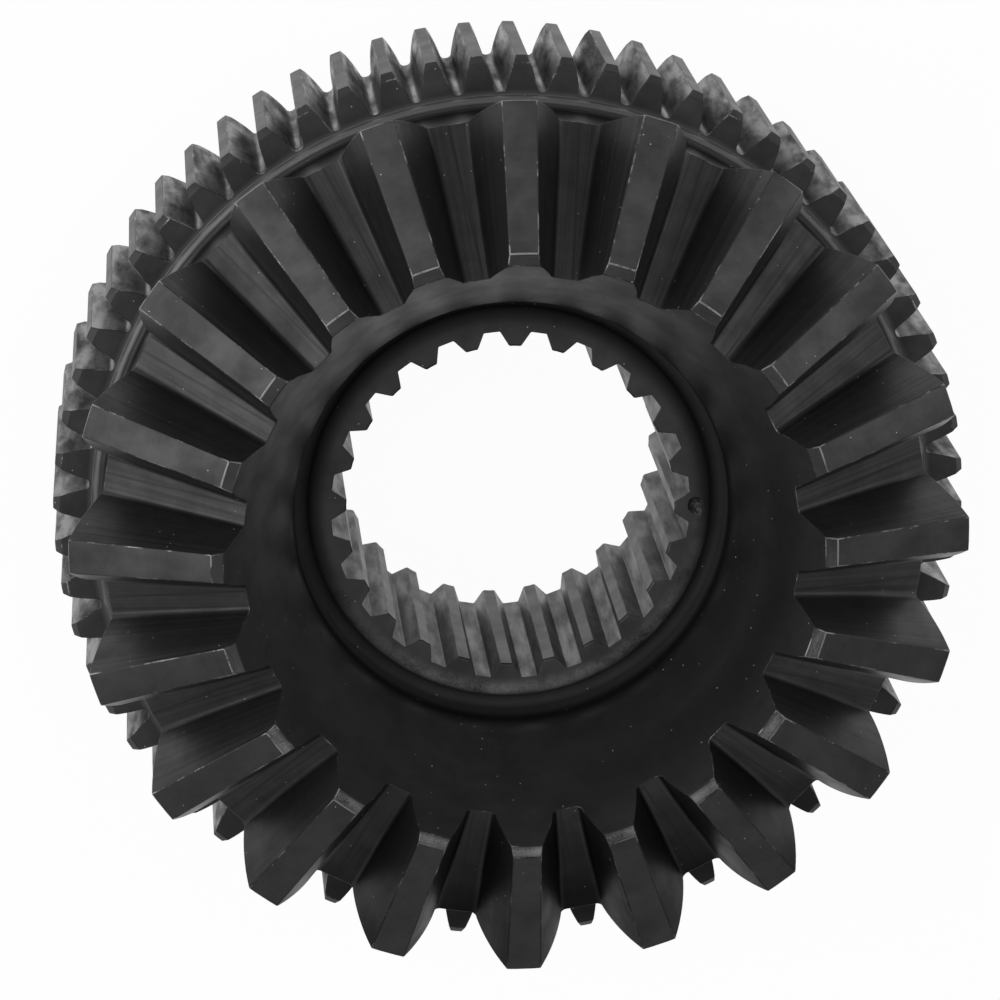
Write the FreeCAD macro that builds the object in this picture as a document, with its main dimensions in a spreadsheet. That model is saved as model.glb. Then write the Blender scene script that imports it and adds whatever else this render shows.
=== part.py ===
import FreeCAD, Part
import Sketcher
import math
import os
from types import SimpleNamespace

# A steel gear in one piece, lying on the end of its rear hub.
# A straight bevel gear looks up, a spur rim stands out below it, and a deep cone-shaped recess
# leads down to a boss with a splined bore. The axis is Z and the rear hub's face is at zero.

# Driving dimensions: alias, number (mm, degrees or a count), meaning.
SIZES = (
    ("bevel_teeth", 20, "straight bevel teeth"),
    ("heel_tip_radius", 79.5, "outer end of a bevel tooth's tip"),
    ("heel_tip_height", 73.0, "height of that end"),
    ("heel_root_radius", 73.7, "outer end of a bevel gap's floor, and the neck below it"),
    ("heel_root_height", 59.7, "height of that end"),
    ("toe_tip_radius", 54.7, "inner end of a bevel tooth's tip, outer edge of the top flat"),
    ("toe_flat_radius", 52.5, "inner edge of the top flat, where the recess begins"),
    ("toe_root_radius", 49.0, "inner end of a bevel gap's floor"),
    ("toe_root_height", 75.3, "height of that end"),
    ("gear_height", 83.0, "top flat above the rear hub's face"),
    ("face_tilt", 25.0, "slope of the tooth ends from the axis"),
    ("gap_floor_width", 5.3, "flat of a bevel gap's floor, here and below at the heel"),
    ("gap_corner", 1.25, "slanted corner beside that floor"),
    ("gap_middle_width", 12.3, "gap width at the middle of the flanks"),
    ("gap_middle_height", 8.0, "height above the floor where the middle is measured"),
    ("gap_mouth_width", 22.2, "gap width past the tips"),
    ("gap_mouth_height", 18.0, "height above the floor where the mouth is measured"),
    ("toe_share", 0.61, "size of a gap's section at the toe, as a share of the heel's"),
    ("gap_overrun", 0.1, "part of the tooth's length by which a cut runs past each end"),
    ("spur_teeth", 64, "teeth of the spur rim, module 2.5"),
    ("spur_phase", 3.328, "angle of the first spur gap from the X axis"),
    ("spur_tip_radius", 82.5, "tips of the spur teeth"),
    ("spur_root_radius", 76.1, "floor of the spur gaps"),
    ("spur_floor_width", 1.5, "floor of a spur gap"),
    ("spur_mouth_radius", 84.5, "radius past the tips where the mouth is measured"),
    ("spur_mouth_width", 8.22, "spur gap width at that radius"),
    ("spur_flank_radius", 29.0, "curve of a spur flank"),
    ("rim_bottom", 10.5, "rear face of the spur rim"),
    ("rim_top", 47.5, "front face of the spur rim, and of the boss"),
    ("rim_chamfer", 1.2, "chamfer on both ends of the spur tips"),
    ("collar_radius", 75.5, "low collar between the rim's front face and the neck"),
    ("collar_rise", 1.5, "height of the collar, all of it slanted"),
    ("recess_foot_radius", 39.3, "bottom of the cone-shaped recess"),
    ("recess_foot_height", 54.5, "height where the cone turns into an upright wall"),
    ("groove_floor_height", 43.2, "floor of the groove around the boss"),
    ("boss_radius", 36.6, "side of the boss"),
    ("boss_chamfer", 2.2, "chamfer of the boss shoulder"),
    ("spline_teeth", 24, "splines in the bore, module 2.5"),
    ("spline_phase", 11.68, "angle of the first spline groove from the X axis"),
    ("bore_radius", 29.75, "tips of the splines"),
    ("spline_root_radius", 32.5, "floor of the spline grooves"),
    ("spline_mouth_width", 5.58, "width of a spline groove at the bore"),
    ("spline_floor_width", 2.9, "width of a spline groove's floor"),
    ("bore_chamfer", 0.8, "chamfer at the boss end of the bore"),
    ("hub_radius", 42.5, "rear hub"),
    ("hub_chamfer", 1.5, "chamfer of the rear hub's end"),
)


class Size:
    # A number kept together with the sheet expression that gives it.

    def __init__(self, value, text):
        self.value = value
        self.text = text

    def __add__(self, other):
        other = as_size(other)
        return Size(self.value + other.value, f"({self.text} + {other.text})")

    def __sub__(self, other):
        other = as_size(other)
        return Size(self.value - other.value, f"({self.text} - {other.text})")

    def __mul__(self, other):
        other = as_size(other)
        return Size(self.value * other.value, f"({self.text} * {other.text})")

    def __truediv__(self, other):
        other = as_size(other)
        return Size(self.value / other.value, f"({self.text} / {other.text})")

    def __neg__(self):
        return self * -1


def as_size(number):
    return number if isinstance(number, Size) else Size(number, str(number))


ZERO = as_size(0)
FULL_TURN = 360
QUARTER_TURN = 90
ALONG_X = FreeCAD.Vector(1, 0, 0)
ALONG_Z = FreeCAD.Vector(0, 0, 1)


def make_sheet(doc):
    sheet = doc.addObject("Spreadsheet::Sheet", "Sizes")
    named = {}
    for row, (alias, number, meaning) in enumerate(SIZES, start=1):
        sheet.set(f"A{row}", meaning)
        sheet.set(f"B{row}", str(number))
        sheet.setAlias(f"B{row}", alias)
        named[alias] = Size(number, f"Sizes.{alias}")
    doc.recompute()
    return SimpleNamespace(**named)


# Drawing on the body's own planes

def origin_part(body, role):
    return next(part for part in body.Origin.OriginFeatures if part.Role == role)


def add_sketch(body, name, role):
    sketch = body.newObject("Sketcher::SketchObject", name)
    sketch.AttachmentSupport = (origin_part(body, role), [""])
    sketch.MapMode = "FlatFace"
    return sketch


def shift_sketch(sketch, base, axis, angle):
    # Moves a sketch off its plane by a base point and turns it about one axis.
    offset = FreeCAD.Vector(*(part.value for part in base))
    sketch.AttachmentOffset = FreeCAD.Placement(offset, FreeCAD.Rotation(axis, angle.value))
    for letter, part in zip("xyz", base):
        sketch.setExpression(f"AttachmentOffset.Base.{letter}", part.text)
    sketch.setExpression("AttachmentOffset.Rotation.Angle", angle.text)


def arc_between(first, last, radius):
    # The short arc that runs counterclockwise from the first point to the last.
    chord = last - first
    left = FreeCAD.Vector(-chord.y, chord.x, 0).normalize()
    rise = math.sqrt(radius ** 2 - (chord.Length / 2) ** 2)
    centre = first + chord * 0.5 + left * rise
    start = math.atan2(first.y - centre.y, first.x - centre.x)
    end = math.atan2(last.y - centre.y, last.x - centre.x)
    return Part.ArcOfCircle(Part.Circle(centre, ALONG_Z, radius), start, end)


def bind(sketch, constraint, size):
    index = sketch.addConstraint(constraint)
    sketch.setExpression(f"Constraints[{index}]", size.text)


def draw_outline(sketch, corners):
    # A closed outline. A corner is (x, y), or (x, y, radius, turn) where an arc leads to the
    # next one: turn 1 runs counterclockwise, turn -1 clockwise.
    points = [FreeCAD.Vector(corner[0].value, corner[1].value, 0) for corner in corners]
    ends = []
    for number, corner in enumerate(corners):
        first = points[number]
        last = points[(number + 1) % len(points)]
        if len(corner) == 2:
            edge = sketch.addGeometry(Part.LineSegment(first, last), False)
            ends.append((edge, 1, 2))
        elif corner[3] > 0:
            edge = sketch.addGeometry(arc_between(first, last, corner[2].value), False)
            ends.append((edge, 1, 2))
        else:
            edge = sketch.addGeometry(arc_between(last, first, corner[2].value), False)
            ends.append((edge, 2, 1))
    for number, (edge, start, end) in enumerate(ends):
        after, after_start, _ = ends[(number + 1) % len(ends)]
        sketch.addConstraint(Sketcher.Constraint("Coincident", edge, end, after, after_start))
        x, y = corners[number][:2]
        bind(sketch, Sketcher.Constraint("DistanceX", edge, start, x.value), x)
        bind(sketch, Sketcher.Constraint("DistanceY", edge, start, y.value), y)
        if len(corners[number]) == 4:
            radius = corners[number][2]
            bind(sketch, Sketcher.Constraint("Radius", edge, radius.value), radius)


# Turned blank

def make_blank(body, dim):
    collar_top = dim.rim_top + dim.collar_rise
    corners = (
        (dim.bore_radius, ZERO),
        (dim.hub_radius - dim.hub_chamfer, ZERO),
        (dim.hub_radius, dim.hub_chamfer),
        (dim.hub_radius, dim.rim_bottom),
        (dim.spur_tip_radius - dim.rim_chamfer, dim.rim_bottom),
        (dim.spur_tip_radius, dim.rim_bottom + dim.rim_chamfer),
        (dim.spur_tip_radius, dim.rim_top - dim.rim_chamfer),
        (dim.spur_tip_radius - dim.rim_chamfer, dim.rim_top),
        (dim.collar_radius, dim.rim_top),
        (dim.collar_radius - dim.collar_rise, collar_top),
        (dim.heel_root_radius, collar_top),
        (dim.heel_root_radius, dim.heel_root_height),
        (dim.heel_tip_radius, dim.heel_tip_height),
        (dim.toe_tip_radius, dim.gear_height),
        (dim.toe_flat_radius, dim.gear_height),
        (dim.recess_foot_radius, dim.recess_foot_height),
        (dim.recess_foot_radius, dim.groove_floor_height),
        (dim.boss_radius, dim.groove_floor_height),
        (dim.boss_radius, dim.rim_top - dim.boss_chamfer),
        (dim.boss_radius - dim.boss_chamfer, dim.rim_top),
        (dim.bore_radius + dim.bore_chamfer, dim.rim_top),
        (dim.bore_radius, dim.rim_top - dim.bore_chamfer),
    )
    sketch = add_sketch(body, "BlankOutline", "XZ_Plane")
    draw_outline(sketch, corners)
    blank = body.newObject("PartDesign::Revolution", "Blank")
    blank.Profile = sketch
    blank.ReferenceAxis = (sketch, ["V_Axis"])
    blank.Angle = FULL_TURN


# Teeth, each kind as one gap repeated around the axis

def repeat_around(body, name, cut, count):
    pattern = body.newObject("PartDesign::PolarPattern", name)
    pattern.Originals = [cut]
    pattern.Axis = (origin_part(body, "Z_Axis"), [""])
    pattern.Angle = FULL_TURN
    pattern.Occurrences = count.value
    pattern.setExpression("Occurrences", count.text)
    body.Tip = pattern


def both_sides(right):
    # The right side of a gap that opens along the sketch's Y axis, then its mirror image.
    left = []
    for number in reversed(range(len(right))):
        x, y = right[number][:2]
        arc = right[number - 1][2:] if number else ()
        left.append((-x, y) + arc)
    return right + tuple(left)


def bevel_section(body, name, dim, share, root_radius, root_height):
    # A gap's section beside the tooth ends, its sizes a share of those at the heel.
    floor_half = dim.gap_floor_width / 2
    sketch = add_sketch(body, name, "YZ_Plane")
    draw_outline(sketch, both_sides((
        (floor_half * share, ZERO),
        ((floor_half + dim.gap_corner) * share, dim.gap_corner * share),
        (dim.gap_middle_width / 2 * share, dim.gap_middle_height * share),
        (dim.gap_mouth_width / 2 * share, dim.gap_mouth_height * share),
    )))
    shift_sketch(sketch, (ZERO, root_height, root_radius), ALONG_X, dim.face_tilt)
    return sketch


def cut_bevel_gaps(body, dim):
    # The sections lie past both ends of the teeth, on the line of the gap's floor.
    extra_share = (as_size(1) - dim.toe_share) * dim.gap_overrun
    extra_radius = (dim.heel_root_radius - dim.toe_root_radius) * dim.gap_overrun
    extra_height = (dim.heel_root_height - dim.toe_root_height) * dim.gap_overrun
    heel = bevel_section(body, "HeelSection", dim, extra_share + 1,
                         dim.heel_root_radius + extra_radius, dim.heel_root_height + extra_height)
    toe = bevel_section(body, "ToeSection", dim, dim.toe_share - extra_share,
                        dim.toe_root_radius - extra_radius, dim.toe_root_height - extra_height)
    gap = body.newObject("PartDesign::SubtractiveLoft", "BevelGap")
    gap.Profile = heel
    gap.Sections = [toe]
    gap.Ruled = True
    repeat_around(body, "BevelTeeth", gap, dim.bevel_teeth)


def cut_down(body, name, sketch, top, depth, phase):
    # A pocket straight down from a sketch at the given height, its gap turned to the phase.
    shift_sketch(sketch, (ZERO, ZERO, top), ALONG_Z, phase - QUARTER_TURN)
    pocket = body.newObject("PartDesign::Pocket", name)
    pocket.Profile = sketch
    pocket.Type = "Length"
    pocket.Length = depth.value
    pocket.setExpression("Length", depth.text)
    return pocket


def cut_spur_gaps(body, dim):
    sketch = add_sketch(body, "SpurSection", "XY_Plane")
    draw_outline(sketch, both_sides((
        (dim.spur_floor_width / 2, dim.spur_root_radius, dim.spur_flank_radius, -1),
        (dim.spur_mouth_width / 2, dim.spur_mouth_radius),
    )))
    gap = cut_down(body, "SpurGap", sketch, dim.rim_top, dim.rim_top - dim.rim_bottom, dim.spur_phase)
    repeat_around(body, "SpurTeeth", gap, dim.spur_teeth)


def cut_spline_grooves(body, dim):
    # The straight flanks run on inwards past the bore by the depth of a groove.
    depth = dim.spline_root_radius - dim.bore_radius
    inner_width = dim.spline_mouth_width * 2 - dim.spline_floor_width
    sketch = add_sketch(body, "SplineSection", "XY_Plane")
    draw_outline(sketch, both_sides((
        (inner_width / 2, dim.bore_radius - depth),
        (dim.spline_floor_width / 2, dim.spline_root_radius),
    )))
    groove = cut_down(body, "SplineGroove", sketch, dim.rim_top, dim.rim_top, dim.spline_phase)
    repeat_around(body, "Splines", groove, dim.spline_teeth)


# Building and checking

LEAST_CUT = 0.005


def check_document(doc):
    doc.recompute()
    for item in doc.Objects:
        if "Invalid" in item.State or "Error" in item.State:
            raise RuntimeError(f"{item.Label} failed: {item.State}")


def cut_and_check(body, dim, cut_teeth):
    # Each kind of tooth must take steel away.
    before = body.Shape.Volume
    cut_teeth(body, dim)
    check_document(body.Document)
    share = 1 - body.Shape.Volume / before
    if share < LEAST_CUT:
        raise RuntimeError(f"{body.Tip.Label} took away only {share:.3%} of the steel")
    print(f"{body.Tip.Label}: {share:.1%} of the steel cut away")


def make_gear(doc, dim):
    body = doc.addObject("PartDesign::Body", "gear")
    body.Label = "gear"
    make_blank(body, dim)
    check_document(doc)
    for cut_teeth in (cut_bevel_gaps, cut_spur_gaps, cut_spline_grooves):
        cut_and_check(body, dim, cut_teeth)
    body.Placement = FreeCAD.Placement()
    return body


def main():
    doc = FreeCAD.newDocument("BevelSpurGear")
    dim = make_sheet(doc)
    parts = [make_gear(doc, dim)]
    check_document(doc)
    os.makedirs("parts", exist_ok=True)
    for part in parts:
        shape = part.Shape
        if shape.isNull() or not shape.isValid():
            raise RuntimeError(f"{part.Label} has no valid shape")
        shape.exportStep(f"parts/{part.Label}.step")
        litres = shape.Volume / 1e6
        print(f"{part.Label}: {len(shape.Solids)} solid, {len(shape.Faces)} faces, {litres:.4f} litres")


main()
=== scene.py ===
import bmesh
import bpy
import math
from mathutils import Matrix, Vector


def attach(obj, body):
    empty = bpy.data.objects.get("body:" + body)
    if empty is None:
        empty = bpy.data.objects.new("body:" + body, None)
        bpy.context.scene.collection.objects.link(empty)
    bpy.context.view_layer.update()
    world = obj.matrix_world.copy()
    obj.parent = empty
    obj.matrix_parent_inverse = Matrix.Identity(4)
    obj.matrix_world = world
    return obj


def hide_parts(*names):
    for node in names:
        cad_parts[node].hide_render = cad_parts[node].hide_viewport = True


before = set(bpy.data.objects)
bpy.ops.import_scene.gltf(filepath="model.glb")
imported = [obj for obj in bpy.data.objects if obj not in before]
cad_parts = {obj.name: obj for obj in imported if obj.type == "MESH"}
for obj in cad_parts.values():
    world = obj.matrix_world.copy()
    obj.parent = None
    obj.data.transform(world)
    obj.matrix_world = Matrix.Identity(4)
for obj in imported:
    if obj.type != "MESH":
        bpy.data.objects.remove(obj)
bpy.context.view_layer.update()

mm = 0.001   # the gear's lengths are in mm, its angles in degrees


# Finishes: one hardened steel under a dark phosphate coat, machined in different ways

def toLinear(code):
    # an sRGB hex colour as the linear values that the shader takes
    channels = [int(code[place:place + 2], 16) / 255 for place in (1, 3, 5)]
    linear = [value / 12.92 if value <= 0.04045 else ((value + 0.055) / 1.055) ** 2.4 for value in channels]
    return (*linear, 1)


def addNode(tree, kind, settings, links):
    # one shader node: settings go to its properties or sockets, links bring outputs to its sockets
    node = tree.nodes.new("ShaderNode" + kind)
    for name, value in settings.items():
        if isinstance(name, str) and hasattr(node, name):
            setattr(node, name, value)
        else:
            node.inputs[name].default_value = value
    for name, output in links.items():
        tree.links.new(output, node.inputs[name])
    return node


# what lies on every finish
onTop = {
    "dust": "#b8b8b8",
    "dustSpacing": 2.6,       # mm between specks, most of which lie under the skin
    "dustSize": 0.13,         # mm, drawn coarse enough to show
    "dustCore": 0.6,          # share of a speck that is fully dusty
    # dark colour of the cutter's line on the gap floors and of all the painted shade
    "toolLineAndPaintedShade": "#141414",
    # dark colour of the matte painted shade round the boss
    "grooveShade": "#262626",
    "dullRoughness": 0.95,    # of dust and of the matte painted shade round the boss
    # rubbed steel, also the colour of the painted highlights on the collar ridge and the boss shoulder
    "rubbedAndHighlight": "#a8a8a8",
    "rubbedHighlightShare": 0.55,
    "rubbedHighlightFrom": (0.38, 0.62),   # noise heights between which the coat goes from whole to rubbed
    "rubbedHighlightGrain": 0.25,      # share of fine grain in that noise
    "highlightShare": 0.3,         # how far the collar's ridge is painted lighter: a painted highlight
    "brightLift": 0.14,       # how much sooner an edge is worn through on a bright ring
    "roughReach": 0.12,       # noise this far from the level takes the roughness to the ends of its spread
    "highlightSide": (6, 28),   # mm along Y: rubbed wear, lighter past here: partly a painted highlight on that side
    "paintedShadeSide": (34, 70),     # mm along Y: painted shade, the coat is painted darker towards this side
    "shadeSideGlare": "#c4c4c4",   # painted shade in the reflection: the glancing glare is dimmed to this on that side
    "shadedSide": (15, -35),  # mm along X: painted shade, the recess is painted darker towards this side
    "shadedShare": 0.65,
    "metal": 0.7,             # phosphate over steel: part of the light scatters as on stone
}

# turned: the lathe leaves fine rings on lands, recess, collar, boss and rim faces
# rings are (radius, height, reach) in mm: painted shade behind the teeth and by the groove, painted shade
# below the collar and in the recess, matte painted shade round the boss, a painted highlight on the collar's
# ridge,
# and the rubbed boss shoulder and tooth facets, partly a painted highlight
turnedLook = {
    "dark": "#343434", "light": "#464646", "level": 0.5, "ragged": 0.3, "patch": 8.0,
    "way": "rings", "marks": 0.5, "markShare": 0.15, "markDepth": 0.004,
    "roughness": 0.46, "grain": 0.35, "grainDepth": 0.004, "roughSpread": 0.07,
    "cornerShadeRings": ((73.2, 51.6, 7.0), (39.5, 49.8, 5.5)),
    "rimShadeRings": ((79.0, 45.0, 9.0),),
    "shadedRings": ((41.5, 59.0, 16.0), (46.5, 70.0, 14.0)),
    "grooveShadeRings": ((37.4, 45.6, 7.0),),
    "highlightRings": ((75.2, 48.1, 1.7),),
    "rubbedHighlightRings": ((35.2, 46.9, 3.0), (53.6, 83.0, 1.5)),
}

# planed: straight marks run down the bevel flanks towards the axis
planedLook = {
    "dark": "#2c2c2c", "light": "#424242", "level": 0.5, "ragged": 0.3, "patch": 6.0,
    "way": "apex", "apexHeight": 105.6, "apexReach": 87, "marks": 0.7, "markShare": 0.5, "markDepth": 0.008,
    # the last number is the share of painted shade on these flanks towards the +Y side
    "roughness": 0.42, "grain": 0.35, "grainDepth": 0.004, "roughSpread": 0.07, "runs": 0.95,
}

# hobbed: smudged coat on the spur flanks, marks along the axis; a stretch below 1 draws the smudges out
hobbedLook = {
    "dark": "#242424", "light": "#7a7a7a", "level": 0.49, "ragged": 0.3, "patch": 3.4, "stretch": 0.25,
    "way": "axis", "marks": 0.8, "markShare": 0.05, "markDepth": 0.002,
    # the last number is the share of painted shade on these flanks towards the +Y side
    "roughness": 0.5, "grain": 0.3, "grainDepth": 0.003, "roughSpread": 0.3, "runs": 0.5,
}

# broached: lighter, rubbed steel in the spline grooves
broachedLook = {
    "dark": "#303030", "light": "#585858", "level": 0.5, "ragged": 0.3, "patch": 2.4, "stretch": 0.2,
    "way": "axis", "marks": 0.6, "markShare": 0.1, "markDepth": 0.002,
    "roughness": 0.45, "grain": 0.3, "grainDepth": 0.003, "roughSpread": 0.15,
}

# worn: handling has rubbed the coat off the sharp edges, most at the two ends of the bevel teeth
wornLook = {
    "dark": "#343434", "light": "#848484", "level": 0.59, "ragged": 0.12, "patch": 5.0,
    "way": "axis", "marks": 0.4, "markShare": 0.2, "markDepth": 0.01,
    # the last number is the share of painted shade on these edges towards the +Y side
    "roughness": 0.42, "grain": 0.2, "grainDepth": 0.01, "roughSpread": 0.07, "runs": 0.6,
    "brightRings": ((54.7, 83.0, 2.6), (79.5, 73.0, 1.6)),
}

# broken: dark inside the chip, its coarse grains with painted glints as lighter flecks
brokenLook = {
    "dark": "#1e1e1e", "light": "#5a5a5a", "level": 0.55, "ragged": 0.3, "patch": 0.8,
    "way": "axis", "marks": 0.4, "markShare": 0.2, "markDepth": 0.02,
    "roughness": 0.5, "grain": 0.3, "grainDepth": 0.05, "roughSpread": 0.1,
}


def nearRings(tree, section, rings):
    # 1 on the rings, 0 beyond their reach
    share = addNode(tree, "Value", {}, {}).outputs[0]
    for radius, height, reach in rings:
        away = addNode(tree, "VectorMath", {"operation": "DISTANCE", 1: (radius, height, 0)}, {0: section})
        near = addNode(tree, "MapRange",
                       {"interpolation_type": "SMOOTHSTEP", "From Min": reach, "From Max": 0},
                       {"Value": away.outputs["Value"]})
        share = addNode(tree, "Math", {"operation": "MAXIMUM"}, {0: share, 1: near.outputs[0]}).outputs[0]
    return share


markLength = 25   # hobs and broaches leave marks this many times as long as wide, along the axis


def marksPlace(tree, spot, parts, radius, look):
    # where a tool mark lies, in mm: points on the same mark share one value
    if look["way"] == "rings":
        # rings are told apart by radius plus height
        ring = addNode(tree, "Math", {"operation": "ADD"}, {0: radius, 1: parts.outputs["Z"]})
        return addNode(tree, "CombineXYZ", {}, {"X": ring.outputs[0]}).outputs[0]
    if look["way"] == "apex":
        # the bevel teeth would meet at this height on the axis, this far from their outer ends
        apex = (0, 0, look["apexHeight"])
        away = addNode(tree, "VectorMath", {"operation": "SUBTRACT", 1: apex}, {0: spot})
        aim = addNode(tree, "VectorMath", {"operation": "NORMALIZE"}, {0: away.outputs[0]})
        reach = addNode(tree, "VectorMath", {"operation": "SCALE", "Scale": look["apexReach"]},
                        {0: aim.outputs[0]})
        return reach.outputs[0]
    along = addNode(tree, "VectorMath", {"operation": "MULTIPLY", 1: (1, 1, 1 / markLength)}, {0: spot})
    return along.outputs[0]


# the cutter's last pass left a dark line on each gap floor, from its middle at the heel to a side at the toe
floorLine = {
    "gaps": 20,
    "heel": (73.7, 0.0),     # radius and side in mm
    "toe": (49.0, -1.3),
    "half": 0.32,
    "core": 0.3,             # share of the half width that is fully dark
    "share": 0.75,
}


def floorLineShare(tree, parts, radius, fade):
    half = math.pi / floorLine["gaps"]
    angle = addNode(tree, "Math", {"operation": "ARCTAN2"}, {0: parts.outputs["Y"], 1: parts.outputs["X"]})
    turn = addNode(tree, "Math", {"operation": "WRAP", 1: half, 2: -half}, {0: angle.outputs[0]})
    side = addNode(tree, "Math", {"operation": "MULTIPLY"}, {0: turn.outputs[0], 1: radius})
    line = addNode(tree, "MapRange",
                   {"From Min": floorLine["heel"][0], "From Max": floorLine["toe"][0],
                    "To Min": floorLine["heel"][1], "To Max": floorLine["toe"][1]}, {"Value": radius})
    away = addNode(tree, "Math", {"operation": "SUBTRACT"}, {0: side.outputs[0], 1: line.outputs[0]})
    width = addNode(tree, "Math", {"operation": "ABSOLUTE"}, {0: away.outputs[0]})
    dark = addNode(tree, "MapRange",
                   {"From Min": floorLine["half"], "From Max": floorLine["core"] * floorLine["half"],
                    "To Max": floorLine["share"]}, {"Value": width.outputs[0]})
    return addNode(tree, "Math", {"operation": "MULTIPLY"}, {0: dark.outputs[0], 1: fade}).outputs[0]


def makeSteel(name, look):
    # satin metal under a dark coat: mottled, with tool marks, fine crystal grain, rubbed wear, painted shade
    # and highlights, and specks of dust
    material = bpy.data.materials.new(name)
    material.use_nodes = True
    tree = material.node_tree
    shader = tree.nodes["Principled BSDF"]
    place = addNode(tree, "TexCoord", {}, {})
    spot = addNode(tree, "VectorMath", {"operation": "SCALE", "Scale": 1 / mm},
                   {0: place.outputs["Object"]}).outputs[0]
    parts = addNode(tree, "SeparateXYZ", {}, {0: spot})
    flat = addNode(tree, "CombineXYZ", {}, {"X": parts.outputs["X"], "Y": parts.outputs["Y"]})
    radius = addNode(tree, "VectorMath", {"operation": "LENGTH"}, {0: flat.outputs[0]}).outputs["Value"]
    section = addNode(tree, "CombineXYZ", {}, {"X": radius, "Y": parts.outputs["Z"]}).outputs[0]
    stretch = (1, 1, look.get("stretch", 1))
    drawn = addNode(tree, "VectorMath", {"operation": "MULTIPLY", 1: stretch}, {0: spot})
    patches = addNode(tree, "TexNoise", {"Scale": 1 / look["patch"], "Detail": 4, "Roughness": 0.62},
                      {"Vector": drawn.outputs[0]})
    marks = addNode(tree, "TexNoise", {"Scale": 1 / look["marks"], "Detail": 1.5, "Roughness": 0.6},
                    {"Vector": marksPlace(tree, spot, parts, radius, look)})
    grain = addNode(tree, "TexNoise", {"Scale": 1 / look["grain"], "Detail": 1}, {"Vector": spot})
    both = addNode(tree, "Mix", {0: look["markShare"]}, {2: patches.outputs["Fac"], 3: marks.outputs["Fac"]})
    height = both.outputs[0]
    if "brightRings" in look:
        near = nearRings(tree, section, look["brightRings"])
        height = addNode(tree, "Math", {"operation": "MULTIPLY_ADD", 1: onTop["brightLift"]},
                         {0: near, 2: height}).outputs[0]
    tone = addNode(tree, "MapRange",
                   {"From Min": look["level"] - look["ragged"] / 2,
                    "From Max": look["level"] + look["ragged"] / 2}, {"Value": height})
    colour = addNode(tree, "Mix",
                     {"data_type": "RGBA", 6: toLinear(look["dark"]), 7: toLinear(look["light"])},
                     {0: tone.outputs[0]}).outputs[2]

    # each layer over the coat is a share and a colour
    layers = []
    matteShade = addNode(tree, "Value", {}, {}).outputs[0]   # stays 0 outside the matte painted shade round the boss
    # painted shade: this share rises towards the +Y side, where the coat is painted darker
    side = addNode(tree, "MapRange", {"From Min": onTop["paintedShadeSide"][0], "From Max": onTop["paintedShadeSide"][1]},
                   {"Value": parts.outputs["Y"]}).outputs[0]
    # painted shade over the whole face towards the +Y side
    if "runs" in look:
        runs = addNode(tree, "Math", {"operation": "MULTIPLY", 1: look["runs"]}, {0: side})
        layers.append((runs.outputs[0], onTop["toolLineAndPaintedShade"]))
    if look["way"] == "apex":
        layers.append((floorLineShare(tree, parts, radius, patches.outputs["Fac"]), onTop["toolLineAndPaintedShade"]))
    if look["way"] == "rings":
        # the turned faces have layers of their own, each on its rings
        # painted shade on the rim's front below the collar, towards the +Y side
        near = nearRings(tree, section, look["rimShadeRings"])
        below = addNode(tree, "Math", {"operation": "MULTIPLY"}, {0: near, 1: side})
        layers.append((below.outputs[0], onTop["toolLineAndPaintedShade"]))
        # painted shade in the corner behind the teeth and by the groove
        layers.append((nearRings(tree, section, look["cornerShadeRings"]), onTop["toolLineAndPaintedShade"]))
        # painted shade in the recess, darker towards the -X side
        near = nearRings(tree, section, look["shadedRings"])
        shaded = addNode(tree, "MapRange",
                         {"From Min": onTop["shadedSide"][0], "From Max": onTop["shadedSide"][1],
                          "To Max": onTop["shadedShare"]}, {"Value": parts.outputs["X"]})
        recessShade = addNode(tree, "Math", {"operation": "MULTIPLY"}, {0: near, 1: shaded.outputs[0]})
        layers.append((recessShade.outputs[0], onTop["toolLineAndPaintedShade"]))
        # painted shade in the groove round the boss, dark, matte and rough
        matteShade = nearRings(tree, section, look["grooveShadeRings"])
        layers.append((matteShade, onTop["grooveShade"]))
        # painted highlight on the collar's ridge
        collarHighlight = nearRings(tree, section, look["highlightRings"])
        thin = addNode(tree, "Math", {"operation": "MULTIPLY", 1: onTop["highlightShare"]}, {0: collarHighlight})
        layers.append((thin.outputs[0], onTop["rubbedAndHighlight"]))
        # boss shoulder and tooth facets: rubbed wear, lighter only towards the +Y side, partly a painted
        # highlight
        near = nearRings(tree, section, look["rubbedHighlightRings"])
        litSide = addNode(tree, "MapRange",
                          {"From Min": onTop["highlightSide"][0], "From Max": onTop["highlightSide"][1]},
                          {"Value": parts.outputs["Y"]})
        speckled = addNode(tree, "Mix", {0: onTop["rubbedHighlightGrain"]},
                           {2: both.outputs[0], 3: grain.outputs["Fac"]})
        torn = addNode(tree, "MapRange",
                       {"From Min": onTop["rubbedHighlightFrom"][0], "From Max": onTop["rubbedHighlightFrom"][1],
                        "To Max": onTop["rubbedHighlightShare"]}, {"Value": speckled.outputs[0]})
        where = addNode(tree, "Math", {"operation": "MULTIPLY"}, {0: near, 1: litSide.outputs[0]})
        rubbedAndHighlight = addNode(tree, "Math", {"operation": "MULTIPLY"}, {0: where.outputs[0], 1: torn.outputs[0]})
        layers.append((rubbedAndHighlight.outputs[0], onTop["rubbedAndHighlight"]))
    specks = addNode(tree, "TexVoronoi", {"Scale": 1 / onTop["dustSpacing"]}, {"Vector": spot})
    size = onTop["dustSize"] / onTop["dustSpacing"]
    speck = addNode(tree, "MapRange", {"From Min": size, "From Max": onTop["dustCore"] * size},
                    {"Value": specks.outputs["Distance"]}).outputs[0]
    layers.append((speck, onTop["dust"]))
    for share, layer in layers:
        colour = addNode(tree, "Mix", {"data_type": "RGBA", 7: toLinear(layer)},
                         {0: share, 6: colour}).outputs[2]

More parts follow.
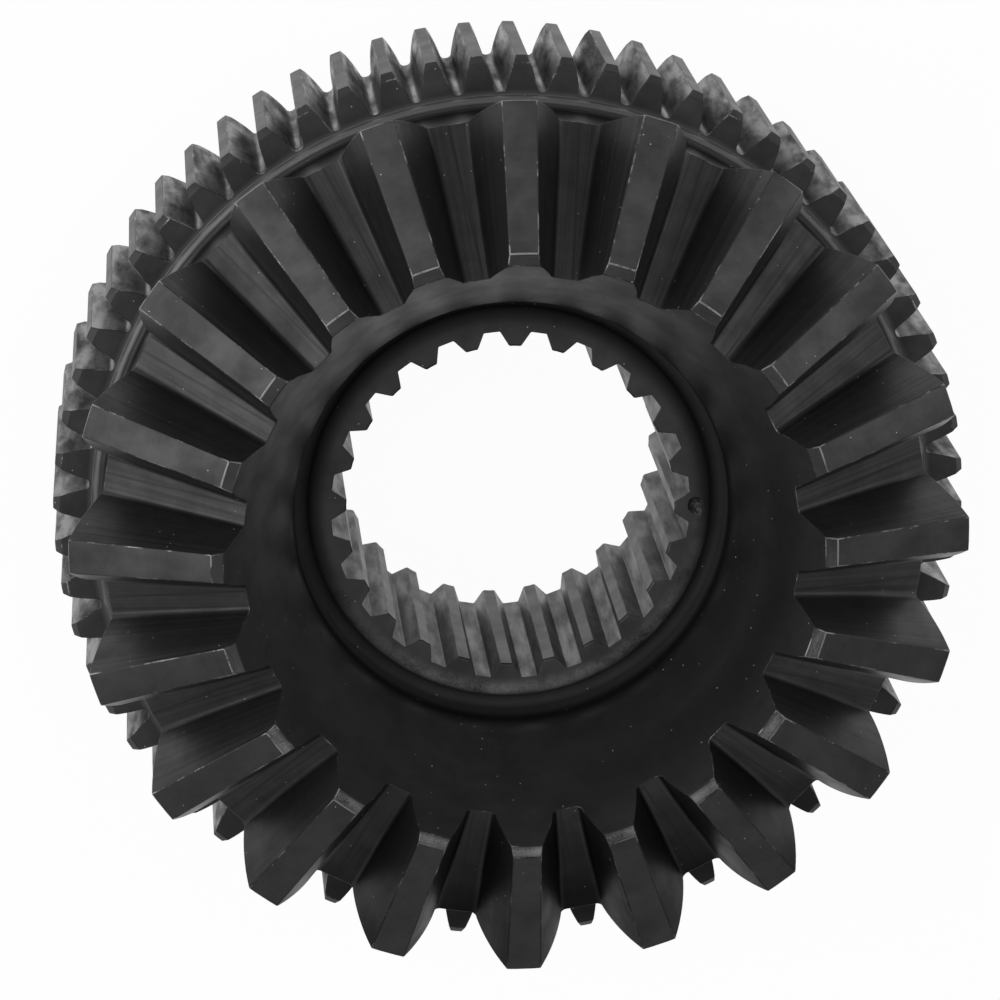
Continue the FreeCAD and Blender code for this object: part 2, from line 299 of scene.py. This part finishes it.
    # lighter patches are smoother
    rough = addNode(tree, "MapRange",
                    {"From Min": look["level"] + onTop["roughReach"],
                     "From Max": look["level"] - onTop["roughReach"],
                     "To Min": look["roughness"] - look["roughSpread"] / 2,
                     "To Max": look["roughness"] + look["roughSpread"] / 2},
                    {"Value": patches.outputs["Fac"]})
    dull = addNode(tree, "Math", {"operation": "MAXIMUM"}, {0: speck, 1: matteShade})
    rough = addNode(tree, "Mix", {3: onTop["dullRoughness"]}, {0: dull.outputs[0], 2: rough.outputs[0]})
    metal = addNode(tree, "MapRange", {"To Min": onTop["metal"], "To Max": 0}, {"Value": dull.outputs[0]})
    if "runs" in look:
        # on the side of the painted shade the glancing glare is dimmed too: painted shade in the reflection
        metal = addNode(tree, "MapRange", {"To Min": onTop["metal"], "To Max": 1}, {"Value": runs.outputs[0]})
        glare = addNode(tree, "Mix", {"data_type": "RGBA", 6: (1, 1, 1, 1), 7: toLinear(onTop["shadeSideGlare"])},
                        {0: runs.outputs[0]})
        tree.links.new(glare.outputs[2], shader.inputs["Specular Tint"])
    grooves = addNode(tree, "Math", {"operation": "MULTIPLY", 1: look["markDepth"]},
                      {0: marks.outputs["Fac"]})
    relief = addNode(tree, "Math", {"operation": "MULTIPLY_ADD", 1: look["grainDepth"]},
                     {0: grain.outputs["Fac"], 2: grooves.outputs[0]})
    skin = addNode(tree, "Bump", {"Distance": mm}, {"Height": relief.outputs[0]})
    tree.links.new(colour, shader.inputs["Base Color"])
    tree.links.new(metal.outputs[0], shader.inputs["Metallic"])
    tree.links.new(rough.outputs[0], shader.inputs["Roughness"])
    tree.links.new(skin.outputs[0], shader.inputs["Normal"])
    return material


turnedSteel = makeSteel("turnedSteel", turnedLook)
planedSteel = makeSteel("planedSteel", planedLook)
hobbedSteel = makeSteel("hobbedSteel", hobbedLook)
broachedSteel = makeSteel("broachedSteel", broachedLook)
wornSteel = makeSteel("wornSteel", wornLook)
brokenSteel = makeSteel("brokenSteel", brokenLook)
print("finishes made")


# Hand tools

weld = 0.002 * mm   # points closer than this are one


def deselectAll():
    if bpy.context.mode != "OBJECT":
        bpy.ops.object.mode_set(mode="OBJECT")
    bpy.ops.object.select_all(action="DESELECT")


def makeActive(piece):
    deselectAll()
    piece.select_set(True)
    bpy.context.view_layer.objects.active = piece


def joinAll(pieces):
    makeActive(pieces[0])
    for piece in pieces:
        piece.select_set(True)
    bpy.ops.object.join()
    return bpy.context.object


def drawLoop(name, points):
    # a closed line: one vertex is extruded from corner to corner and the ends are welded
    deselectAll()
    bpy.ops.mesh.primitive_plane_add(size=mm, location=(0, 0, 0))
    piece = bpy.context.object
    piece.name = name
    bpy.ops.object.mode_set(mode="EDIT")
    bpy.ops.mesh.select_all(action="SELECT")
    bpy.ops.mesh.merge(type="CENTER")
    bpy.ops.transform.translate(value=points[0])
    for here, there in zip(points, points[1:] + points[:1]):
        bpy.ops.mesh.extrude_region_move(TRANSFORM_OT_translate={"value": there - here})
    bpy.ops.mesh.select_all(action="SELECT")
    bpy.ops.mesh.remove_doubles(threshold=weld)
    return piece


def closeMesh(finish):
    bpy.ops.mesh.select_all(action="SELECT")
    bpy.ops.mesh.remove_doubles(threshold=weld)
    bpy.ops.mesh.normals_make_consistent(inside=False)
    bpy.ops.object.mode_set(mode="OBJECT")
    bpy.context.object.data.materials.append(finish)


def spinBlank(name, corners, steps, phase):
    # turns a closed profile of (radius, height) corners about the axis, its first seam at the phase
    turn = Matrix.Rotation(math.radians(phase), 3, "Z")
    points = [turn @ Vector((radius * mm, 0, height * mm)) for radius, height in corners]
    piece = drawLoop(name, points)
    bpy.ops.mesh.spin(steps=steps, angle=math.tau, center=(0, 0, 0), axis=(0, 0, 1))
    closeMesh(turnedSteel)
    return piece


def arcPoints(first, last, radius, count):
    # points from first to last on a short arc; a positive radius turns left, a negative one right
    first = Vector(first)
    last = Vector(last)
    chord = last - first
    left = Vector((-chord.y, chord.x)).normalized() * math.copysign(1, radius)
    middle = first + chord * 0.5
    centre = middle + left * math.sqrt(radius ** 2 - (chord.length * 0.5) ** 2)
    arm = first - centre
    sweep = 2 * math.asin(chord.length * 0.5 / abs(radius)) * math.copysign(1, radius)
    return [centre + Matrix.Rotation(sweep * step / count, 2) @ arm for step in range(count + 1)]


def gapOutline(half, fillet, mouth, top, flankRadius, filletSteps, flankSteps):
    # a gap's outline as (side, height) points: floor corner, flank, then the mirror image
    right = arcPoints((half, 0), (half + fillet, fillet), fillet, filletSteps)
    right += arcPoints((half + fillet, fillet), (mouth, top), -flankRadius, flankSteps)[1:]
    return right + [Vector((-point.x, point.y)) for point in reversed(right)]


def copyAround(piece, count, phase):
    # copies of a cutter around the axis, joined into one object
    copies = []
    for number in range(count):
        makeActive(piece)
        bpy.ops.object.duplicate()
        copy = bpy.context.object
        turn = math.radians(phase) + math.tau * number / count
        copy.data.transform(Matrix.Rotation(turn, 4, "Z"))
        copies.append(copy)
    bpy.data.objects.remove(piece)
    return joinAll(copies)


def booleanWith(piece, tool, operation):
    # the cut faces take the finish of the tool
    makeActive(piece)
    bpy.ops.object.modifier_add(type="BOOLEAN")
    modifier = piece.modifiers[-1]
    modifier.operation = operation
    modifier.solver = "EXACT"
    modifier.material_mode = "TRANSFER"
    modifier.object = tool
    bpy.ops.object.modifier_apply(modifier=modifier.name)
    bpy.data.objects.remove(tool)
    return piece


# Bevel crown: turned body with the recess, neck and collar, then 20 gaps planed in it

crown = {
    "teeth": 20,
    "seams": 160,
    "phase": 1.125,        # keeps the seams clear of the tooth corners
    "heelTip": (79.5, 73.0),
    "heelRoot": (73.7, 59.7),
    "toeTip": (54.7, 83.0),
    "toeFlat": (52.5, 83.0),
    "toeRoot": (49.0, 75.3),
    "faceTilt": 25.0,
    "overrun": 0.1,        # share of the tooth's length that the cutter reaches past each end
    "heelDrop": 0.7,       # the heel face runs on this far below the gap floors
    "heelGap": {"half": 2.65, "fillet": 1.25, "mouth": 12.05, "top": 18.0, "flankRadius": 48.0},
    "toeGap": {"half": 1.5, "fillet": 1.1, "mouth": 7.465, "top": 12.0, "flankRadius": 45.0},
    "filletSteps": 6,
    "flankSteps": 11,      # the land then stays between two lines of the flank
    "collar": (75.5, 47.5),
    "collarRise": 1.2,
    "neckRound": 0.85,
    "roundSteps": 6,
    "footRound": 12.0,
    "footSteps": 3,
    "recessFoot": (39.3, 54.5),
    "grooveFloor": 43.2,
    "grooveRound": 1.2,
    "insideRadius": 34.0,
    "skirtBottom": 20.0,   # below the collar the blank narrows and runs down inside the rim
    "skirtStep": (4, 1),
}


def makeCrown():
    collarRadius, rimTop = crown["collar"]
    rise = crown["collarRise"]
    footRadius, footHeight = crown["recessFoot"]
    floor = crown["grooveFloor"]
    rounding = crown["grooveRound"]
    steps = crown["roundSteps"]
    collarArc = arcPoints((collarRadius, rimTop), (collarRadius - rise, rimTop + rise), rise, steps)
    heelRoot = Vector(crown["heelRoot"])
    heelFoot = tuple(heelRoot + (heelRoot - Vector(crown["heelTip"])).normalized() * crown["heelDrop"])
    neck = heelFoot[0]
    turnIn = crown["neckRound"]
    neckArc = arcPoints((neck + turnIn, rimTop + rise), (neck, rimTop + rise + turnIn), -turnIn, steps)
    grooveArc = arcPoints((footRadius, floor + rounding), (footRadius - rounding, floor), -rounding, steps)
    foot = Vector(crown["recessFoot"])
    slope = (Vector(crown["toeFlat"]) - foot).normalized()
    reach = crown["footRound"] * math.tan(slope.angle(Vector((0, 1))) / 2)
    footEnds = (foot + slope * reach, (footRadius, footHeight - reach))
    footArc = arcPoints(*footEnds, crown["footRound"], crown["footSteps"])
    skirt = collarRadius - crown["skirtStep"][0]
    ledge = rimTop - crown["skirtStep"][1]
    low = crown["skirtBottom"]
    corners = [(crown["insideRadius"], low), (skirt, low), (skirt, ledge), (collarRadius, ledge)]
    corners += [tuple(point) for point in collarArc + neckArc]
    corners += [heelFoot, crown["heelTip"], crown["toeTip"], crown["toeFlat"]]
    corners += [tuple(point) for point in footArc + grooveArc]
    corners += [(crown["insideRadius"], floor)]
    blank = spinBlank("crownBlank", corners, crown["seams"], crown["phase"])
    return booleanWith(blank, makeBevelCutters(), "DIFFERENCE")


def bevelLoop(name, share):
    # the gap's outline at a share of the way from heel to toe, in the plane of the tooth ends
    heel = Vector(crown["heelRoot"])
    toe = Vector(crown["toeRoot"])
    foot = heel.lerp(toe, share)
    tilt = math.radians(crown["faceTilt"])
    upFace = Vector((math.sin(tilt), 0, math.cos(tilt)))
    steps = (crown["filletSteps"], crown["flankSteps"])
    heelSide = gapOutline(*crown["heelGap"].values(), *steps)
    toeSide = gapOutline(*crown["toeGap"].values(), *steps)
    points = []
    for atHeel, atToe in zip(heelSide, toeSide):
        side, rise = atHeel.lerp(atToe, share)
        points.append((Vector((foot.x, side, foot.y)) + upFace * rise) * mm)
    return drawLoop(name, points)


def makeBevelCutters():
    heelLoop = bevelLoop("heelLoop", -crown["overrun"])
    toeLoop = bevelLoop("toeLoop", 1 + crown["overrun"])
    cutter = joinAll([heelLoop, toeLoop])
    bpy.ops.object.mode_set(mode="EDIT")
    bpy.ops.mesh.select_all(action="SELECT")
    bpy.ops.mesh.bridge_edge_loops()
    bpy.ops.mesh.select_all(action="SELECT")
    bpy.ops.mesh.fill_holes(sides=0)
    closeMesh(planedSteel)
    return copyAround(cutter, crown["teeth"], 0)


gearPiece = makeCrown()
print("crown cut:", len(gearPiece.data.polygons), "faces")


# Spur rim: a turned ring with chamfered ends, then 64 gaps hobbed in it

rim = {
    "teeth": 64,
    "seams": 128,
    "phase": 3.328,
    "bottom": 10.5,
    "top": 47.5,
    "tipRadius": 82.5,
    "rootRadius": 76.1,
    "chamfer": 1.2,
    "gap": {"half": 0.15, "fillet": 0.88, "mouth": 4.11, "top": 8.4, "flankRadius": 29.0},
    "filletSteps": 6,
    "flankSteps": 7,
    "insideRadius": 36.0,
    "hollow": (71.0, 30.0),   # radius and floor of the hollow that the crown fills
    "margin": 1,              # how far the cutters reach past each end
}


def makeRim():
    tip = rim["tipRadius"]
    chamfer = rim["chamfer"]
    inside = rim["insideRadius"]
    hollowRadius, hollowFloor = rim["hollow"]
    corners = [
        (inside, rim["bottom"]),
        (tip - chamfer, rim["bottom"]),
        (tip, rim["bottom"] + chamfer),
        (tip, rim["top"] - chamfer),
        (tip - chamfer, rim["top"]),
        (hollowRadius, rim["top"]),
        (hollowRadius, hollowFloor),
        (inside, hollowFloor),
    ]
    blank = spinBlank("rimBlank", corners, rim["seams"], rim["phase"])
    return booleanWith(blank, makeSpurCutters(), "DIFFERENCE")


def makeSpurCutters():
    above = rim["top"] + rim["margin"]
    root = rim["rootRadius"]
    outline = gapOutline(*rim["gap"].values(), rim["filletSteps"], rim["flankSteps"])
    cutter = drawLoop("spurCutter", [Vector((root + rise, side, above)) * mm for side, rise in outline])
    bpy.ops.mesh.edge_face_add()
    depth = (rim["top"] - rim["bottom"] + 2 * rim["margin"]) * mm
    bpy.ops.mesh.extrude_region_move(TRANSFORM_OT_translate={"value": (0, 0, -depth)})
    closeMesh(hobbedSteel)
    return copyAround(cutter, rim["teeth"], rim["phase"])


rimPiece = makeRim()
print("rim cut:", len(rimPiece.data.polygons), "faces")


# Boss and rear hub, with 24 spline grooves broached through the bore

bore = {
    "teeth": 24,
    "seams": 96,
    "phase": 11.68,
    "radius": 29.75,
    "floorRadius": 32.5,
    "mouthWidth": 5.58,
    "floorWidth": 2.9,
    "chamfer": 0.3,
    "bossRadius": 36.6,
    "bossRound": 3.1,
    "roundSteps": 8,
    "bossTop": 47.5,
    "hubRadius": 42.5,
    "hubChamfer": 1.5,
    "hubTop": 12.0,
    "margin": 1,          # how far the cutters reach past each end
}


def makeBoss():
    radius = bore["radius"]
    chamfer = bore["chamfer"]
    boss = bore["bossRadius"]
    rounding = bore["bossRound"]
    top = bore["bossTop"]
    floor = crown["grooveFloor"]
    foot = crown["grooveRound"]
    hub = bore["hubRadius"]
    footArc = arcPoints((boss + foot, floor), (boss, floor + foot), -foot, crown["roundSteps"])
    shoulder = arcPoints((boss, top - rounding), (boss - rounding, top), rounding, bore["roundSteps"])
    corners = [
        (radius + chamfer, 0),
        (hub - bore["hubChamfer"], 0),
        (hub, bore["hubChamfer"]),
        (hub, bore["hubTop"]),
        (boss + foot, bore["hubTop"]),
    ]
    corners += [tuple(point) for point in footArc + shoulder]
    corners += [(radius + chamfer, top), (radius, top - chamfer), (radius, chamfer)]
    blank = spinBlank("bossBlank", corners, bore["seams"], bore["phase"])
    return booleanWith(blank, makeSplineCutters(), "DIFFERENCE")


def makeSplineCutters():
    # the flanks run on inwards past the mouth, as far again as the groove is deep
    innerRadius = 2 * bore["radius"] - bore["floorRadius"]
    floorHalf = bore["floorWidth"] / 2
    innerHalf = bore["mouthWidth"] - floorHalf
    above = bore["bossTop"] + bore["margin"]
    corners = [
        (bore["floorRadius"], -floorHalf),
        (bore["floorRadius"], floorHalf),
        (innerRadius, innerHalf),
        (innerRadius, -innerHalf),
    ]
    cutter = drawLoop("splineCutter", [Vector((x, y, above)) * mm for x, y in corners])
    bpy.ops.mesh.edge_face_add()
    depth = (above + bore["margin"]) * mm
    bpy.ops.mesh.extrude_region_move(TRANSFORM_OT_translate={"value": (0, 0, -depth)})
    closeMesh(broachedSteel)
    return copyAround(cutter, bore["teeth"], bore["phase"])


bossPiece = makeBoss()
print("boss cut:", len(bossPiece.data.polygons), "faces")


# One gear out of the three, its sharp edges broken and rubbed

edges = {
    "weld": 0.01,     # mm: corners of the three pieces closer than this become one
    "sliver": 0.02,   # mm: faces thinner than this are dissolved
    "flat": 0.4,      # degrees: faces that turn less become one
    "width": 0.16,
    "steps": 2,
    "sharp": 18,      # degrees: above the turn between two steps of a fillet
    "boreRadius": 37,   # mm: strips nearer the axis lie on the boss or in the bore
}


def joinGear():
    booleanWith(gearPiece, rimPiece, "UNION")
    booleanWith(gearPiece, bossPiece, "UNION")
    makeActive(gearPiece)
    bpy.ops.object.mode_set(mode="EDIT")
    bpy.ops.mesh.select_all(action="SELECT")
    bpy.ops.mesh.remove_doubles(threshold=edges["weld"] * mm)
    bpy.ops.mesh.dissolve_degenerate(threshold=edges["sliver"] * mm)
    bpy.ops.mesh.dissolve_limited(angle_limit=math.radians(edges["flat"]), delimit={"MATERIAL"})
    bpy.ops.object.mode_set(mode="OBJECT")
    gearPiece.name = "gearSteel"
    print("joined:", len(gearPiece.data.polygons), "faces")


def breakEdges():
    makeActive(gearPiece)
    gearPiece.data.materials.append(wornSteel)
    bpy.ops.object.shade_smooth()
    bpy.ops.object.modifier_add(type="BEVEL")
    modifier = gearPiece.modifiers[-1]
    modifier.limit_method = "ANGLE"
    modifier.angle_limit = math.radians(edges["sharp"])
    modifier.width = edges["width"] * mm
    modifier.segments = edges["steps"]
    modifier.use_clamp_overlap = False
    modifier.loop_slide = False
    modifier.miter_outer = "MITER_ARC"
    modifier.material = gearPiece.data.materials.find("wornSteel")
    bpy.ops.object.modifier_apply(modifier=modifier.name)
    print("edges broken:", len(gearPiece.data.polygons), "faces")


def keepWearOnRidges():
    # nothing rubs the strips in a hollow or at the bore, so they take the finish of the face beside them
    worn = gearPiece.data.materials.find("wornSteel")
    mesh = bmesh.new()
    mesh.from_mesh(gearPiece.data)
    hollow = []
    for face in mesh.faces:
        bend = sum(edge.calc_length() * edge.calc_face_angle_signed(0) for edge in face.edges)
        atBore = face.calc_center_median().xy.length < edges["boreRadius"] * mm
        if face.material_index == worn and (bend < 0 or atBore):
            beside = [other for edge in face.edges for other in edge.link_faces
                      if other.material_index != worn]
            if beside:
                widest = max(beside, key=lambda other: other.calc_area())
                hollow.append((face, widest.material_index))
    for face, finish in hollow:
        face.material_index = finish
    mesh.to_mesh(gearPiece.data)
    mesh.free()
    print("hollow strips:", len(hollow))


# a chip has broken out of the boss face beside one groove
chip = {
    "place": (-33.2, 6.0, 47.6),
    "size": (1.7, 1.9, 0.75),
    "ragged": 0.3,   # mm that each corner of the cutter is moved at most
}


def breakChip():
    deselectAll()
    place = [value * mm for value in chip["place"]]
    bpy.ops.mesh.primitive_ico_sphere_add(subdivisions=2, radius=mm, location=place)
    bpy.ops.object.mode_set(mode="EDIT")
    bpy.ops.mesh.select_all(action="SELECT")
    bpy.ops.transform.resize(value=chip["size"])
    bpy.ops.transform.vertex_random(offset=chip["ragged"] * mm, seed=4)
    bpy.ops.object.mode_set(mode="OBJECT")
    bpy.ops.object.transform_apply(location=True, rotation=True, scale=True)
    cutter = bpy.context.object
    cutter.data.materials.append(brokenSteel)
    whole = gearPiece.data.copy()
    booleanWith(gearPiece, cutter, "DIFFERENCE")
    if len(gearPiece.data.polygons) < len(whole.polygons):
        # a cut that went wrong leaves few faces or none, and then the boss stays whole
        gearPiece.data = whole
    print("chip broken out:", len(gearPiece.data.polygons), "faces")


def weighNormals():
    # the broad faces stay flat and the strips between them carry the whole turn
    makeActive(gearPiece)
    bpy.ops.object.modifier_add(type="WEIGHTED_NORMAL")
    bpy.ops.object.modifier_apply(modifier=gearPiece.modifiers[-1].name)


joinGear()
breakEdges()
keepWearOnRidges()
breakChip()
weighNormals()

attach(gearPiece, "root")
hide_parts("gear")


# Camera at the photograph's angle, found by fitting a view to the teeth

view = {
    "place": (-61.8, 239.2, 903.4),
    "lens": 177.35,
    "tip": 0.2701,      # this and the next two in radians
    "lean": -0.0715,
    "roll": 0.0062,
    "turn": 171.0,      # degrees about the gear's axis
}


def makeCamera():
    tip = Matrix.Rotation(view["tip"], 3, "X")
    lean = Matrix.Rotation(view["lean"], 3, "Y")
    roll = Matrix.Rotation(view["roll"], 3, "Z")
    toCamera = tip @ lean @ Matrix.Diagonal((1, -1, -1)) @ roll
    turn = Matrix.Rotation(math.radians(view["turn"]), 3, "Z")
    right, down, ahead = [turn @ Vector(row) for row in toCamera]
    pose = Matrix((right, -down, -ahead)).transposed().to_4x4()
    pose.translation = turn @ (Vector(view["place"]) * mm)
    bpy.ops.object.camera_add()
    camera = bpy.context.object
    camera.name = "photoCamera"
    camera.matrix_world = pose
    camera.data.lens = view["lens"]
    camera.data.sensor_width = 36
    camera.data.clip_start = 0.01
    bpy.context.scene.camera = camera


deselectAll()
makeCamera()
print("camera set")


# White paper sweep under soft light: one softbox on each side of the picture

studio = {
    "paperRadius": 6.0,   # metres
    "paperRise": 0.9,     # metres: the sweep turns up at its edge, behind every view
    "paper": "#f4f4f4",
    "paperLift": 0.965,   # share of the paper's whiteness that doesn't depend on the lamps
    "ceiling": "#c0c0c0",
    "walls": "#7a7a7a",
    "wallTop": (0.5, 0.85),   # height of the view direction where walls turn to ceiling
}

# a lamp's turn is counted from the left of the picture towards its top, its tilt from straight up, both in
# degrees; its distance and size are in metres
lamps = (
    {"name": "leftSoftbox", "turn": 17, "tilt": 48, "distance": 1.4, "size": 1.3, "power": 11.5},
    {"name": "rightSoftbox", "turn": 160, "tilt": 50, "distance": 1.4, "size": 1.0, "power": 3.6},
    {"name": "topSoftbox", "turn": 90, "tilt": 24, "distance": 1.4, "size": 0.7, "power": 1.2},
)


def makeSweep():
    bpy.ops.mesh.primitive_circle_add(vertices=96, radius=studio["paperRadius"], fill_type="NGON")
    sweep = bpy.context.object
    sweep.name = "paperSweep"
    bpy.ops.object.mode_set(mode="EDIT")
    bpy.ops.mesh.select_all(action="SELECT")
    bpy.ops.mesh.region_to_loop()
    bpy.ops.mesh.extrude_region_move(TRANSFORM_OT_translate={"value": (0, 0, studio["paperRise"])})
    bpy.ops.object.mode_set(mode="OBJECT")
    material = bpy.data.materials.new("whitePaper")
    material.use_nodes = True
    tree = material.node_tree
    shader = tree.nodes["Principled BSDF"]
    shader.inputs["Base Color"].default_value = toLinear(studio["paper"])
    shader.inputs["Roughness"].default_value = 0.9
    glow = addNode(tree, "Emission", {"Strength": 1}, {})
    path = addNode(tree, "LightPath", {}, {})
    seen = addNode(tree, "Math", {"operation": "MAXIMUM"},
                   {0: path.outputs["Is Camera Ray"], 1: path.outputs["Is Glossy Ray"]})
    seenToo = addNode(tree, "Math", {"operation": "MAXIMUM"},
                      {0: seen.outputs[0], 1: path.outputs["Is Transmission Ray"]})
    share = addNode(tree, "Math", {"operation": "MULTIPLY", 1: studio["paperLift"]},
                    {0: seenToo.outputs[0]})
    mix = addNode(tree, "MixShader", {}, {0: share.outputs[0], 1: shader.outputs[0], 2: glow.outputs[0]})
    tree.links.new(mix.outputs[0], tree.nodes["Material Output"].inputs["Surface"])
    sweep.data.materials.append(material)


def makeLight():
    world = bpy.data.worlds.new("paleRoom")
    world.use_nodes = True
    tree = world.node_tree
    way = addNode(tree, "TexCoord", {}, {})
    parts = addNode(tree, "SeparateXYZ", {}, {0: way.outputs["Generated"]})
    rise = addNode(tree, "MapRange", {"From Min": studio["wallTop"][0], "From Max": studio["wallTop"][1]},
                   {"Value": parts.outputs["Z"]})
    room = addNode(tree, "Mix",
                   {"data_type": "RGBA", 6: toLinear(studio["walls"]), 7: toLinear(studio["ceiling"])},
                   {0: rise.outputs[0]})
    tree.links.new(room.outputs[2], tree.nodes["Background"].inputs["Color"])
    bpy.context.scene.world = world
    bpy.context.scene.view_settings.view_transform = "Standard"
    left = math.radians(view["turn"] + 180)
    for lamp in lamps:
        around = left - math.radians(lamp["turn"])
        tilt = math.radians(lamp["tilt"])
        aim = Vector((math.sin(tilt) * math.cos(around), math.sin(tilt) * math.sin(around), math.cos(tilt)))
        bpy.ops.object.light_add(type="AREA", location=aim * lamp["distance"])
        light = bpy.context.object
        light.name = lamp["name"]
        light.rotation_euler = aim.to_track_quat("Z", "Y").to_euler()
        light.data.size = lamp["size"]
        light.data.energy = lamp["power"]


makeSweep()
makeLight()
print("studio lit")
